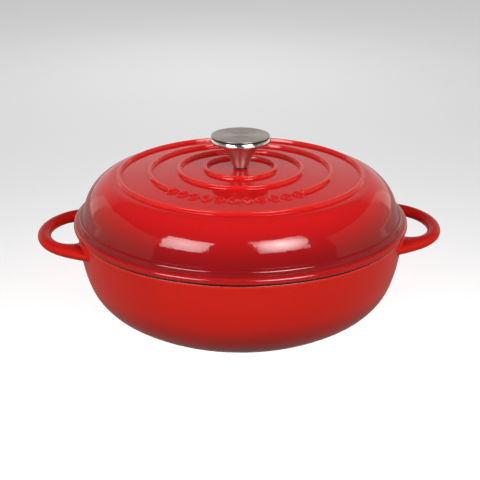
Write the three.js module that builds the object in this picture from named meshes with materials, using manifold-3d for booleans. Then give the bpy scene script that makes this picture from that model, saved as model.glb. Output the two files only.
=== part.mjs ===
// Enamelled cast iron casserole with a domed lid and a trumpet-shaped steel knob.
// Millimetres, +Z up. The origin is the centre of the foot ring's resting plane; the handles lie along X.

import * as THREE from 'three';
import { mergeVertices } from 'three/addons/utils/BufferGeometryUtils.js';
import Module from 'manifold-3d';

const wasm = await Module();
wasm.setup();

// Round castings and turned pieces
const CASTING_SEGMENTS = 60;
const KNOB_SEGMENTS = 32;
const SMALL_SEGMENTS = 18;
const ASSEMBLY_GAP = 0.3;

// Pot: [radius, height] of the outer wall from the foot up
const POT_WALL = [
  [110.4, 0.9], [115.3, 3.8], [125.3, 11.4], [133.8, 22.8], [139.1, 38], [142.1, 54], [144.4, 74.4],
];
const POT_WALL_STEPS = 11;
const POT_HEIGHT = 76;
const POT_WALL_THICKNESS = 3.9;
const POT_FLOOR_HEIGHT = 5;
const POT_FLOOR_RADIUS = 104;
const FOOT_OUTER_RADIUS = 109;
const FOOT_INNER_RADIUS = 99;
const FOOT_RECESS_DEPTH = 0.9;
const FOOT_CHAMFER = 1;
const RIM_OUTER_RADIUS = 144.6;
const RIM_INNER_RADIUS = 139.4;
const RIM_OUTER_ROUNDING = 1.3;
const RIM_INNER_ROUNDING = 0.6;
const RIM_DEPTH = 5;

// Loop handles: an elliptical bar swept round half an ellipse, flaring into the wall
const HANDLE_CENTRE_X = 138;
const HANDLE_REACH = 36;
const HANDLE_HALF_SPREAD = 45.5;
const HANDLE_HEIGHT = 66.3;
const HANDLE_HALF_WIDTH = 5.75;
const HANDLE_HALF_DEPTH = 5.1;
const HANDLE_BAR_END_DEG = 60;
const HANDLE_BAR_STEPS = 10;
const HANDLE_ROOT_STEPS = 4;
const HANDLE_ROOT_RADIUS = 141;
const HANDLE_ROOT_BULGE = 0.25;
const HANDLE_ROOT_DEG = 18.2;
const HANDLE_ROOT_HALF_DEG = 6.6;
const HANDLE_ROOT_HALF_DEPTH = 5.9;
const HANDLE_ROOT_HEIGHT = 65.4;
const HANDLE_SECTION_POINTS = 12;

// Lid: [radius, height] from the seat edge, over the flange, groove and shoulder, up the dome
const LID_FLANGE = [
  [143, 76.4], [145.6, 77.3], [146.6, 78], [147, 79.1], [146.5, 80.7], [145.3, 81.8], [143.8, 82.5],
  [142.6, 83.4], [142.1, 84.5], [141.7, 85.6], [141, 86.5], [139.8, 87], [138.9, 87.8], [138.3, 89.8],
];
const LID_DOME = [
  [137.3, 93], [135.6, 98], [133.1, 103], [130.3, 107],
  [126.5, 111], [121.7, 114.6], [115.6, 117.5], [110.6, 118.5],
];
const LID_THICKNESS = 3.5;
const LID_LIP_OUTER_RADIUS = 138.4;
const LID_LIP_INNER_RADIUS = 133.4;
const LID_LIP_BOTTOM = 72;
const LID_LIP_TOP = 86;
const LID_LIP_ROUNDING = 1;
const PLATE_CENTRE_HEIGHT = 123.5;
const PLATE_FALL = 0.000408;
const LID_HOLE_RADIUS = 3.6;
const UNDERSIDE_RADII = [14, 60, 98];

// Raised rings on the top plate; the third is broken by a band of raised ornament
const FULL_RING_RADII = [30.9, 53.9, 106.4];
const BROKEN_RING_RADIUS = 79.4;
const RIDGE = [[-2.5, 0], [-1.35, 1], [-0.6, 2.9], [0.6, 2.9], [1.35, 1], [2.5, 0]];
const RING_EMBED = 1.5;
const ORNAMENT_CENTRE_DEG = -97.3;
const ORNAMENT_SPAN_DEG = 88.5;
const LOZENGE_COUNT = 11;
const LOZENGE_SEMI_AXES = [7, 4.7, 2];
const LOZENGE_SEGMENTS = [8, 6];

// Knob assembly, heights above the resting plane
const STEM = [
  [5.4, 124.8], [6.4, 125.2], [7, 126.4], [8.7, 130.8], [10.5, 135.2],
  [13.3, 139.6], [16.2, 143.2], [19.6, 146], [23.4, 147],
];
const HEAD_SIDE = [[25.4, 147.4], [26, 148.2], [26.1, 149.4], [25.9, 150.6], [25.4, 151.6]];
const HEAD_RECESS_RADIUS = 21.8;
const HEAD_RECESS_FLOOR = 149.2;
const STEM_BORE_RADIUS = 4.6;
const STEM_LEDGE_HEIGHT = 136;
const STEM_CAVITY_RADIUS = 6.6;
const SEAL_RADIUS = 25.1;
const SEAL_THICKNESS = 0.6;
const CAP_RADIUS = 25.4;
const CAP_TOP = 153.3;
const CAP_BEVEL = 0.3;
const CAP_EDGE_CHAMFER = 0.15;
const NUT_BODY_RADIUS = 4.2;
const NUT_FLANGE_RADIUS = 6;
const NUT_FLANGE_THICKNESS = 2.2;
const NUT_BOTTOM = 125.6;
const SCREW_RADIUS = 3;
const SCREW_TOP = 134.5;
const SCREW_HEAD_RADIUS = 6;
const SCREW_HEAD_HEIGHT = 3.2;
const SCREW_HEAD_ROUNDING = 1.6;
const SCREW_TIP_CHAMFER = 0.6;
const SCREW_SLOT_WIDTH = 1.4;
const SCREW_SLOT_DEPTH = 1.5;
const WASHER_RADIUS = 8;
const WASHER_THICKNESS = 1.2;
const SPRING_WASHER_RADIUS = 5.6;
const SPRING_WASHER_THICKNESS = 1.5;
const SPRING_WASHER_SPLIT = [4, 0.9, 4];
const SPRING_WASHER_SPLIT_TILT_DEG = 20;
const GASKET_RADIUS = 5.9;

const HEAD_TOP = HEAD_SIDE.at(-1)[1];
const SEAL_BOTTOM = HEAD_TOP + ASSEMBLY_GAP;
const FASTENER_BORE = SCREW_RADIUS + ASSEMBLY_GAP;
const ARC_MIDDLE = 1 - Math.SQRT1_2;
const MERGE_TOLERANCE = 0.0001;
const UP = new THREE.Vector3(0, 0, 1);
const radians = THREE.MathUtils.degToRad;
const plateHeight = (radius) => PLATE_CENTRE_HEIGHT - PLATE_FALL * radius * radius;

// The fastener stack under the lid, from the top down
const LID_UNDERSIDE_HEIGHT = plateHeight(LID_HOLE_RADIUS) - LID_THICKNESS;
const WASHER_TOP = LID_UNDERSIDE_HEIGHT - ASSEMBLY_GAP;
const SPRING_TOP = WASHER_TOP - WASHER_THICKNESS - ASSEMBLY_GAP;
const SCREW_HEAD_TOP = SPRING_TOP - SPRING_WASHER_THICKNESS - ASSEMBLY_GAP;

// Materials
function surface(colour, roughness, metalness) {
  return new THREE.MeshStandardMaterial({ color: colour, roughness, metalness });
}

const enamel = () => surface(0xc01a1c, 0.12, 0);
const polishedSteel = () => surface(0xd9d9d6, 0.08, 1);
const brushedSteel = () => surface(0xa9a39f, 0.38, 1);
const zincSteel = () => surface(0xb4b6b8, 0.35, 1);
const silicone = () => surface(0x1d1d1e, 0.8, 0);

// A closed profile of [radius, height] turned about Z
function turned(profile, segments) {
  const points = profile.map(([r, z]) => new THREE.Vector2(r, z));
  const geometry = new THREE.LatheGeometry(points, segments);
  geometry.rotateX(Math.PI / 2);
  return geometry;
}

// A closed body through a list of rings that all have the same number of points
function loft(rings) {
  const count = rings[0].length;
  const positions = rings.flat().flatMap((p) => [p.x, p.y, p.z]);
  const indices = [];
  for (let i = 0; i < rings.length - 1; i += 1) {
    for (let j = 0; j < count; j += 1) {
      const a = i * count + j;
      const b = i * count + (j + 1) % count;
      indices.push(a, b, a + count, b, b + count, a + count);
    }
  }
  addCap(positions, indices, rings[0], 0, true);
  addCap(positions, indices, rings.at(-1), (rings.length - 1) * count, false);
  const geometry = new THREE.BufferGeometry();
  geometry.setAttribute('position', new THREE.Float32BufferAttribute(positions, 3));
  geometry.setIndex(indices);
  return geometry;
}

function addCap(positions, indices, ring, start, reversed) {
  const middle = new THREE.Vector3();
  ring.forEach((p) => middle.addScaledVector(p, 1 / ring.length));
  const centre = positions.length / 3;
  positions.push(middle.x, middle.y, middle.z);
  for (let j = 0; j < ring.length; j += 1) {
    const a = start + j;
    const b = start + (j + 1) % ring.length;
    indices.push(...(reversed ? [centre, b, a] : [centre, a, b]));
  }
}

function toManifold(geometry) {
  const bare = geometry.clone();
  bare.deleteAttribute('normal');
  bare.deleteAttribute('uv');
  const merged = mergeVertices(bare, MERGE_TOLERANCE);
  return new wasm.Manifold(new wasm.Mesh({
    numProp: 3,
    vertProperties: new Float32Array(merged.attributes.position.array),
    triVerts: new Uint32Array(merged.index.array),
  }));
}

function toGeometry(solid) {
  const mesh = solid.getMesh();
  const geometry = new THREE.BufferGeometry();
  geometry.setAttribute('position', new THREE.Float32BufferAttribute(mesh.vertProperties, 3));
  geometry.setIndex(Array.from(mesh.triVerts));
  const flat = geometry.toNonIndexed();
  flat.computeVertexNormals();
  return flat;
}

function named(name, geometry, material) {
  const mesh = new THREE.Mesh(geometry, material);
  mesh.name = name;
  return mesh;
}

// The same profile moved sideways by a distance, to the left of its direction of travel
function offsetProfile(profile, distance) {
  return profile.map(([r, z], i) => {
    const [r0, z0] = profile[Math.max(i - 1, 0)];
    const [r1, z1] = profile[Math.min(i + 1, profile.length - 1)];
    const length = Math.hypot(r1 - r0, z1 - z0);
    return [r - distance * (z1 - z0) / length, z + distance * (r1 - r0) / length];
  });
}

function smoothProfile(profile, steps) {
  const curve = new THREE.SplineCurve(profile.map(([r, z]) => new THREE.Vector2(r, z)));
  return curve.getPoints(steps).map((p) => [p.x, p.y]);
}

// Pot: one casting with its two handles
function potBody() {
  const wall = smoothProfile(POT_WALL, POT_WALL_STEPS);
  const inside = offsetProfile(wall, POT_WALL_THICKNESS).slice(1, -1).reverse();
  const rimMiddle = ARC_MIDDLE * RIM_OUTER_ROUNDING;
  return turned([
    [0, FOOT_RECESS_DEPTH],
    [FOOT_INNER_RADIUS - FOOT_CHAMFER, FOOT_RECESS_DEPTH],
    [FOOT_INNER_RADIUS, 0],
    [FOOT_OUTER_RADIUS, 0],
    ...wall.slice(0, -1),
    [RIM_OUTER_RADIUS, POT_HEIGHT - RIM_OUTER_ROUNDING],
    [RIM_OUTER_RADIUS - rimMiddle, POT_HEIGHT - rimMiddle],
    [RIM_OUTER_RADIUS - RIM_OUTER_ROUNDING, POT_HEIGHT],
    [RIM_INNER_RADIUS + RIM_INNER_ROUNDING, POT_HEIGHT],
    [RIM_INNER_RADIUS, POT_HEIGHT - RIM_INNER_ROUNDING],
    [RIM_INNER_RADIUS, POT_HEIGHT - RIM_DEPTH],
    ...inside.slice(1),
    [POT_FLOOR_RADIUS, POT_FLOOR_HEIGHT],
    [0, POT_FLOOR_HEIGHT],
  ], CASTING_SEGMENTS);
}

function sectionAngles() {
  const step = (-2 * Math.PI) / HANDLE_SECTION_POINTS;
  return Array.from({ length: HANDLE_SECTION_POINTS }, (_, j) => step * j);
}

// One ring of the bar at an angle round the handle's half ellipse
function barRing(angle) {
  const centre = new THREE.Vector3(
    HANDLE_CENTRE_X + HANDLE_REACH * Math.cos(angle), HANDLE_HALF_SPREAD * Math.sin(angle), HANDLE_HEIGHT);
  const outward = new THREE.Vector3(
    HANDLE_HALF_SPREAD * Math.cos(angle), HANDLE_REACH * Math.sin(angle), 0).normalize();
  return sectionAngles().map((u) => centre.clone()
    .addScaledVector(outward, HANDLE_HALF_WIDTH * Math.cos(u))
    .addScaledVector(UP, HANDLE_HALF_DEPTH * Math.sin(u)));
}

// Direction in which the bar runs away from the wall's side of its end
function barDirection(side) {
  const end = side * radians(HANDLE_BAR_END_DEG);
  return new THREE.Vector3(
    side * HANDLE_REACH * Math.sin(end), -side * HANDLE_HALF_SPREAD * Math.cos(end), 0).normalize();
}

// The oval where the bar meets the wall, set a little inside the casting
function rootRing(side) {
  return sectionAngles().map((u) => {
    const azimuth = side * radians(HANDLE_ROOT_DEG + HANDLE_ROOT_HALF_DEG * Math.cos(u));
    const z = HANDLE_ROOT_HEIGHT + HANDLE_ROOT_HALF_DEPTH * Math.sin(u);
    return new THREE.Vector3(HANDLE_ROOT_RADIUS, 0, z).applyAxisAngle(UP, azimuth);
  });
}

// Rings that flare from the wall oval into the bar
function flareRings(side) {
  const root = rootRing(side);
  const bar = barRing(side * radians(HANDLE_BAR_END_DEG));
  const along = barDirection(side);
  const rings = [];
  for (let k = 0; k < HANDLE_ROOT_STEPS; k += 1) {
    const t = k / HANDLE_ROOT_STEPS;
    rings.push(root.map((p, j) => {
      const away = p.clone().setZ(0).normalize();
      return hermite(p, away, bar[j], along, t, p.distanceTo(bar[j]));
    }));
  }
  return rings;
}

function hermite(p0, d0, p1, d1, t, scale) {
  const t2 = t * t;
  const t3 = t2 * t;
  return new THREE.Vector3()
    .addScaledVector(p0, 2 * t3 - 3 * t2 + 1)
    .addScaledVector(d0, (t3 - 2 * t2 + t) * scale * HANDLE_ROOT_BULGE)
    .addScaledVector(p1, 3 * t2 - 2 * t3)
    .addScaledVector(d1, (t3 - t2) * scale);
}

function handleLoop() {
  const end = radians(HANDLE_BAR_END_DEG);
  const step = (2 * end) / HANDLE_BAR_STEPS;
  const bar = Array.from({ length: HANDLE_BAR_STEPS + 1 }, (_, i) => barRing(-end + step * i));
  return loft([...flareRings(-1), ...bar, ...flareRings(1).reverse()]);
}

function pot() {
  const right = handleLoop();
  const left = handleLoop().rotateZ(Math.PI);
  const solid = toManifold(potBody()).add(toManifold(right)).add(toManifold(left));
  return named('pot', toGeometry(solid), enamel());
}

// Lid: one casting with its rings and ornament
function ridgeOnPlate(radius) {
  const profile = RIDGE.map(([offset, height]) => [radius + offset, plateHeight(radius + offset) + height]);
  return profile.reverse();
}

function lidBody() {
  const under = offsetProfile(LID_DOME, LID_THICKNESS).reverse();
  return turned([
    ...LID_FLANGE,
    ...LID_DOME,
    ...ridgeOnPlate(FULL_RING_RADII[2]),
    [BROKEN_RING_RADIUS, plateHeight(BROKEN_RING_RADIUS)],
    ...ridgeOnPlate(FULL_RING_RADII[1]),
    ...ridgeOnPlate(FULL_RING_RADII[0]),
    [LID_HOLE_RADIUS, plateHeight(LID_HOLE_RADIUS)],
    [LID_HOLE_RADIUS, LID_UNDERSIDE_HEIGHT],
    [UNDERSIDE_RADII[0], LID_UNDERSIDE_HEIGHT],
    ...UNDERSIDE_RADII.slice(1).map((r) => [r, plateHeight(r) - LID_THICKNESS]),
    ...under,
    [LID_LIP_INNER_RADIUS, LID_LIP_TOP],
    [LID_LIP_INNER_RADIUS, LID_LIP_BOTTOM + LID_LIP_ROUNDING],
    [LID_LIP_INNER_RADIUS + LID_LIP_ROUNDING, LID_LIP_BOTTOM],
    [LID_LIP_OUTER_RADIUS - LID_LIP_ROUNDING, LID_LIP_BOTTOM],
    [LID_LIP_OUTER_RADIUS, LID_LIP_BOTTOM + LID_LIP_ROUNDING],
    [LID_LIP_OUTER_RADIUS, LID_FLANGE[0][1]],
    LID_FLANGE[0],
  ], CASTING_SEGMENTS);
}

// The broken ring runs round the plate from one end of the ornament to the other, on the casting's facets
function brokenRingAngles() {
  const start = ORNAMENT_CENTRE_DEG + ORNAMENT_SPAN_DEG / 2;
  const end = start + 360 - ORNAMENT_SPAN_DEG;
  const facet = 360 / CASTING_SEGMENTS;
  const angles = [start];
  for (let angle = Math.ceil(start / facet) * facet; angle < end; angle += facet) {
    angles.push(angle);
  }
  angles.push(end);
  return angles.map(radians);
}

function brokenRing() {
  const halfWidth = RIDGE.at(-1)[0];
  const section = [[-halfWidth, -RING_EMBED], ...RIDGE, [halfWidth, -RING_EMBED]];
  const rings = brokenRingAngles().map((angle) => section.map(([offset, height]) => {
    const r = BROKEN_RING_RADIUS + offset;
    return new THREE.Vector3(r * Math.cos(angle), r * Math.sin(angle), plateHeight(r) + height);
  }));
  return loft(rings);
}

function lozenge(azimuthDeg) {
  return new THREE.SphereGeometry(1, ...LOZENGE_SEGMENTS)
    .rotateX(Math.PI / 2)
    .scale(...LOZENGE_SEMI_AXES)
    .translate(BROKEN_RING_RADIUS, 0, plateHeight(BROKEN_RING_RADIUS))
    .rotateZ(radians(azimuthDeg));
}

function ornament() {
  const pitch = ORNAMENT_SPAN_DEG / LOZENGE_COUNT;
  const first = ORNAMENT_CENTRE_DEG - (pitch * (LOZENGE_COUNT - 1)) / 2;
  return Array.from({ length: LOZENGE_COUNT }, (_, i) => lozenge(first + i * pitch));
}

function lid() {
  const raised = [brokenRing(), ...ornament()].map(toManifold);
  const solid = raised.reduce((sum, shape) => sum.add(shape), toManifold(lidBody()));
  return named('lid', toGeometry(solid), enamel());
}

// Knob: a hollow trumpet with a cap on its head, and the insert and screw that hold it to the lid
function knobShell() {
  const profile = [
    ...STEM,
    ...HEAD_SIDE,
    [HEAD_RECESS_RADIUS, HEAD_TOP],
    [HEAD_RECESS_RADIUS, HEAD_RECESS_FLOOR],
    [STEM_CAVITY_RADIUS, HEAD_RECESS_FLOOR],
    [STEM_CAVITY_RADIUS, STEM_LEDGE_HEIGHT],
    [STEM_BORE_RADIUS, STEM_LEDGE_HEIGHT],
    [STEM_BORE_RADIUS, STEM[0][1]],
    STEM[0],
  ];
  return named('knob_shell', turned(profile, KNOB_SEGMENTS), polishedSteel());
}

function knobCap() {
  const spigot = HEAD_RECESS_RADIUS - ASSEMBLY_GAP;
  const under = SEAL_BOTTOM + SEAL_THICKNESS + ASSEMBLY_GAP;
  const profile = [
    [0, HEAD_RECESS_FLOOR + ASSEMBLY_GAP],
    [spigot, HEAD_RECESS_FLOOR + ASSEMBLY_GAP],
    [spigot, under],
    [CAP_RADIUS - CAP_BEVEL, under],
    [CAP_RADIUS, under + CAP_BEVEL],
    [CAP_RADIUS, CAP_TOP - CAP_EDGE_CHAMFER],
    [CAP_RADIUS - CAP_EDGE_CHAMFER, CAP_TOP],
    [0, CAP_TOP],
  ];
  return named('knob_cap', turned(profile, KNOB_SEGMENTS), brushedSteel());
}

function knobNut() {
  const flangeBottom = STEM_LEDGE_HEIGHT + ASSEMBLY_GAP;
  const profile = [
    [FASTENER_BORE, NUT_BOTTOM],
    [NUT_BODY_RADIUS, NUT_BOTTOM],
    [NUT_BODY_RADIUS, flangeBottom],
    [NUT_FLANGE_RADIUS, flangeBottom],
    [NUT_FLANGE_RADIUS, flangeBottom + NUT_FLANGE_THICKNESS],
    [FASTENER_BORE, flangeBottom + NUT_FLANGE_THICKNESS],
    [FASTENER_BORE, NUT_BOTTOM],
  ];
  return named('knob_nut', turned(profile, SMALL_SEGMENTS), zincSteel());
}

// A flat ring from one height to another, its bore and its edge square
function flatRing(inner, outer, bottom, top, segments) {
  return turned([[inner, bottom], [outer, bottom], [outer, top], [inner, top], [inner, bottom]], segments);
}

// A flat ring round the screw
function screwRing(outer, bottom, top) {
  return flatRing(FASTENER_BORE, outer, bottom, top, SMALL_SEGMENTS);
}

// A thin ring between the knob's head and its cap
function capSeal() {
  const top = SEAL_BOTTOM + SEAL_THICKNESS;
  const ring = flatRing(HEAD_RECESS_RADIUS, SEAL_RADIUS, SEAL_BOTTOM, top, KNOB_SEGMENTS);
  return named('cap_seal', ring, silicone());
}

function knobGasket() {
  const bottom = PLATE_CENTRE_HEIGHT + ASSEMBLY_GAP;
  const top = STEM[0][1] - ASSEMBLY_GAP;
  return named('knob_gasket', screwRing(GASKET_RADIUS, bottom, top), silicone());
}

function screwWasher() {
  const ring = screwRing(WASHER_RADIUS, WASHER_TOP - WASHER_THICKNESS, WASHER_TOP);
  return named('screw_washer', ring, zincSteel());
}

function springWasher() {
  const ring = screwRing(SPRING_WASHER_RADIUS, SPRING_TOP - SPRING_WASHER_THICKNESS, SPRING_TOP);
  const split = new THREE.BoxGeometry(...SPRING_WASHER_SPLIT)
    .rotateX(radians(SPRING_WASHER_SPLIT_TILT_DEG))
    .translate((FASTENER_BORE + SPRING_WASHER_RADIUS) / 2, 0, SPRING_TOP - SPRING_WASHER_THICKNESS / 2);
  const solid = toManifold(ring).subtract(toManifold(split));
  return named('spring_washer', toGeometry(solid), zincSteel());
}

function knobScrew() {
  const headBottom = SCREW_HEAD_TOP - SCREW_HEAD_HEIGHT;
  const body = turned([
    [0, headBottom],
    [SCREW_HEAD_RADIUS - SCREW_HEAD_ROUNDING, headBottom],
    [SCREW_HEAD_RADIUS, headBottom + SCREW_HEAD_ROUNDING],
    [SCREW_HEAD_RADIUS, SCREW_HEAD_TOP],
    [SCREW_RADIUS, SCREW_HEAD_TOP],
    [SCREW_RADIUS, SCREW_TOP - SCREW_TIP_CHAMFER],
    [SCREW_RADIUS - SCREW_TIP_CHAMFER, SCREW_TOP],
    [0, SCREW_TOP],
  ], SMALL_SEGMENTS);
  const slot = new THREE.BoxGeometry(3 * SCREW_HEAD_RADIUS, SCREW_SLOT_WIDTH, 2 * SCREW_SLOT_DEPTH)
    .translate(0, 0, headBottom);
  const solid = toManifold(body).subtract(toManifold(slot));
  return named('knob_screw', toGeometry(solid), zincSteel());
}

const group = new THREE.Group();
group.name = 'covered_casserole';
group.add(
  pot(), lid(), knobShell(), capSeal(), knobCap(),
  knobNut(), knobGasket(), knobScrew(), screwWasher(), springWasher(),
);

export default group;
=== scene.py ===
"""Looks of the enamelled casserole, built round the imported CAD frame. Outlines in mm, lights in metres."""
import math

import bpy
import numpy as np
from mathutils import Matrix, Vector


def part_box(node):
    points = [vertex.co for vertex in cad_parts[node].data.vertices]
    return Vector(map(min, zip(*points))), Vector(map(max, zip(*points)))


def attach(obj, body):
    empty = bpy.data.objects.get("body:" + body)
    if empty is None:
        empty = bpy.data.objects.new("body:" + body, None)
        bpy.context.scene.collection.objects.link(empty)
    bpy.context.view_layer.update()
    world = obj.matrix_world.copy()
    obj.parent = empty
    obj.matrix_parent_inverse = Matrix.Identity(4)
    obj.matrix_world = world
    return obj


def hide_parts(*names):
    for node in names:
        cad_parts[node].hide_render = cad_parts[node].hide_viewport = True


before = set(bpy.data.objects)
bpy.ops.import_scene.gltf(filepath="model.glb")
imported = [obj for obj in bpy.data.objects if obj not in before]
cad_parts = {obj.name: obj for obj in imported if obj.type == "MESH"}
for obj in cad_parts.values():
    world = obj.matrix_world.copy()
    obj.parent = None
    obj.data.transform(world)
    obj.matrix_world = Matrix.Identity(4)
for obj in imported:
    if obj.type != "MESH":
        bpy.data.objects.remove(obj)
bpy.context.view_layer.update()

MM = 0.001
LOW, HIGH = 0, 1
X, Z = 0, 2


def cad_reach(node, end, axis):
    """Where a CAD node's box ends along an axis, in millimetres."""
    return round(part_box(node)[end][axis] / MM, 1)


# Pot: [radius, height] of the outer wall from the foot up, as in the CAD
POT_WALL = [(110.4, 0.9), (115.3, 3.8), (125.3, 11.4), (133.8, 22.8), (139.1, 38), (142.1, 54), (144.4, 74.4)]
POT_WALL_STEPS = 44
POT_HEIGHT = cad_reach("pot", HIGH, Z)
POT_WALL_THICKNESS = 3.9
POT_FLOOR_HEIGHT = 5
POT_FLOOR_FILLET = 9
POT_FLOOR_CORNER = 6.5
INNER_WALL_TOP = POT_HEIGHT - 7
INNER_WALL_BOTTOM = POT_FLOOR_HEIGHT + 4
FOOT_OUTER_RADIUS = 109
FOOT_INNER_RADIUS = 99
FOOT_RECESS_DEPTH = 0.9
FOOT_RECESS_FILLET = 1.2
FOOT_INNER_ROUNDING = 0.5
FOOT_OUTER_ROUNDING = 0.9
FOOT_FLARE = 0.2
RIM_OUTER_RADIUS = 144.6
RIM_INNER_RADIUS = 139.4
RIM_OUTER_ROUNDING = 1.3
RIM_INNER_ROUNDING = 0.8
RIM_DEPTH = 5
RIM_BLEND = 3
BLACK_RIM_DEPTH = 0.8
POT_ROW_SPACING = 1.4
POT_ANGLE_STEP = 2
POT_FINE_ANGLE_STEP = 0.75
HANDLE_REGION_DEG = 27
# Thinner enamel and a painted highlight lighten the rim's outer edge this far round it, most of all this far
# below the top
RIM_THIN_AND_HIGHLIGHT_REACH = 2.2
RIM_THIN_AND_HIGHLIGHT_DROP = 1.2
# [height, share] of painted shade, darkening the colour down the pot's wall and round the lid's flange and
# dome
WALL_PAINTED_SHADE = [(0, 1), (10, 0.5), (15, 0.28), (22, 0.35), (28, 0.28), (36, 0)]
LID_PAINTED_SHADE = [(76, 0.7), (79, 0.35), (82, 0.8), (84, 1), (90, 0.9), (108, 0.32), (116, 0)]
# Painted shade over the upper half of each handle's bar
HANDLE_TOP_SHADE = 0.8
# The castings' finishes, in the order of their materials
RED, BLACK, CREAM, FOOT, HANDLE = range(5)

# Loop handles: an elliptical bar on half an ellipse, faired into the wall
HANDLE_CENTRE_X = 138
HANDLE_REACH = 36
HANDLE_HALF_SPREAD = 45.5
HANDLE_HEIGHT = 66.3
HANDLE_HALF_WIDTH = 5.75
HANDLE_HALF_DEPTH = 5.0
HANDLE_DEPTH_GROWTH = 0.6
HANDLE_BAR_END = math.radians(60.4)
HANDLE_BAR_RINGS = 44
HANDLE_ROOT_RINGS = 18
HANDLE_ROOT_ANGLE = math.radians(18.2)
HANDLE_ROOT_HALF_ANGLE = math.radians(7)
HANDLE_ROOT_HALF_DEPTH = 5.4
HANDLE_ROOT_HEIGHT = 65.3
HANDLE_ROOT_BULGE = 0.2
HANDLE_ROOT_FILLET = 2
# Above 1, the root's rings crowd towards the wall
HANDLE_ROOT_CROWDING = 1.7
# The oval opened in the wall for a root takes in the root's fillet
ROOT_OVAL_HALF_ANGLE = HANDLE_ROOT_HALF_ANGLE + HANDLE_ROOT_FILLET / RIM_OUTER_RADIUS
ROOT_OVAL_HALF_DEPTH = HANDLE_ROOT_HALF_DEPTH + HANDLE_ROOT_FILLET

# Lid. Its dome's [radius, height] points are those of the CAD
SEAT_RADIUS = 143
SEAT_HEIGHT = 76.4
# [radius, height, rounding] of the corners of the flange, groove and shoulder
FLANGE_CORNERS = [
    (145.9, 77.2, 0.8), (147.05, 78.3, 0.9), (146.7, 81.4, 2.7), (142.7, 82.9, 0.15),
    (142.05, 86.6, 2.4), (139.2, 87.3, 0.15),
]
LID_DOME = [
    (137.3, 93), (135.6, 98), (133.1, 103), (130.3, 107), (126.5, 111), (121.7, 114.6), (115.6, 117.5),
    (110.6, 118.5),
]
LID_DOME_STEPS = 56
FLANGE_ROW_SPACING = 0.8
LID_THICKNESS = 3.5
LID_ANGLE_STEP = 1.5
ORNAMENT_ANGLE_STEP = 0.3
LID_LIP_OUTER_RADIUS = 138.4
LID_LIP_INNER_RADIUS = 133.4
LID_LIP_BOTTOM = cad_reach("lid", LOW, Z)
LID_LIP_TOP = 86
LID_LIP_ROUNDING = 1.4
LID_LIP_FILLET = 2.5
SEAT_FILLET = 0.3
LID_HOLE_ROUNDING = 0.4
BLACK_SEAT_DEPTH = 3
# The flange's outer top edge, where the enamel has thinned a little
FLANGE_EDGE = (145.6, 81.2)
FLANGE_EDGE_REACH = 2
FLANGE_EDGE_THINNING = 0.25
PLATE_CENTRE_HEIGHT = 123.5
# The plate drops by this times the radius squared
PLATE_FALL = 0.000408
PLATE_EDGE_RADIUS = 110
# The dome's curve is drawn this far on over the plate, so that it meets the plate smoothly
DOME_OVERLAP = 6
PLATE_ROW_SPACING = 2.4
ORNAMENT_ROW_SPACING = 0.4
ORNAMENT_MARGIN = 0.5
RIDGE_MARGIN = 0.3
SMALLEST_ROW_GAP = 0.04
UNDERSIDE_ROW_SPACING = 4.0
UNDERSIDE_INNER_RADIUS = 14
UNDERSIDE_OUTER_RADIUS = 109
LID_HOLE_RADIUS = 3.6
FULL_RING_RADII = (30.9, 53.9, 106.4)
BROKEN_RING_RADIUS = 79.4
RIDGE_HEIGHT = 2.9
RIDGE_CROWN_RADIUS = 2.4
RIDGE_CROWN_ANGLE = math.radians(32)
RIDGE_EDGE_RADIUS = 0.5
RIDGE_SIDE_ANGLE = math.radians(84)
RIDGE_FILLET = 0.25
ORNAMENT_CENTRE = math.radians(-97.3)
ORNAMENT_SPAN = math.radians(88.5)
LOZENGE_COUNT = 11
LOZENGE_HALF_LENGTH = 5.8
LOZENGE_HALF_WIDTH = 4.2
# 1 would give the lozenges straight sides, and 2 make them ovals
LOZENGE_FULLNESS = 1.5
LOZENGE_STROKE = 1.3
BEAD_RADIUS = 1.9
ORNAMENT_HEIGHT = 1.2

# Knob
STEM = [
    (5.4, 124.8), (6.4, 125.2), (7, 126.4), (8.7, 130.8), (10.5, 135.2), (13.3, 139.6), (16.2, 143.2),
    (19.6, 146), (23.4, 147),
]
# Where the turned stem meets the polished head
STEM_TOP = 146.9
HEAD_SIDE = [(25.4, 147.4), (26, 148.2), (26.1, 149.4), (25.9, 150.6), (25.4, 151.5)]
TRUMPET_STEPS = 104
HEAD_TOP = cad_reach("knob_shell", HIGH, Z)
HEAD_RECESS_RADIUS = 21.8
HEAD_RECESS_FLOOR = 149.2
STEM_BORE_RADIUS = 4.6
STEM_LEDGE_HEIGHT = 136
STEM_CAVITY_RADIUS = 6.6
CAP_RADIUS = cad_reach("knob_cap", HIGH, X)
CAP_TOP = cad_reach("knob_cap", HIGH, Z)
CAP_UNDERSIDE = 152.8
CAP_SPIGOT_RADIUS = 21.5
CAP_SPIGOT_BOTTOM = cad_reach("knob_cap", LOW, Z)
CAP_ENGRAVED_RING_RADIUS = 7.2
CAP_ENGRAVED_RING_WIDTH = 0.7
CAP_ENGRAVED_RING_DEPTH = 0.15
CAP_EDGE_ROUNDING = 0.15
KNOB_SMALL_ROUNDING = 0.2
KNOB_SEGMENTS = 180

# Camera, in metres: it stands a little to the left of the pot's front and looks down at it
CAMERA_DISTANCE = 0.7955
CAMERA_HEIGHT = 0.3754
CAMERA_PITCH = math.radians(21.91)
CAMERA_YAW = math.radians(3.2)
CAMERA_AIM = math.radians(3.17)
CAMERA_LENS = 71.25
CAMERA_SENSOR = 36


# ---------------------------------------------------------------- outlines

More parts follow.
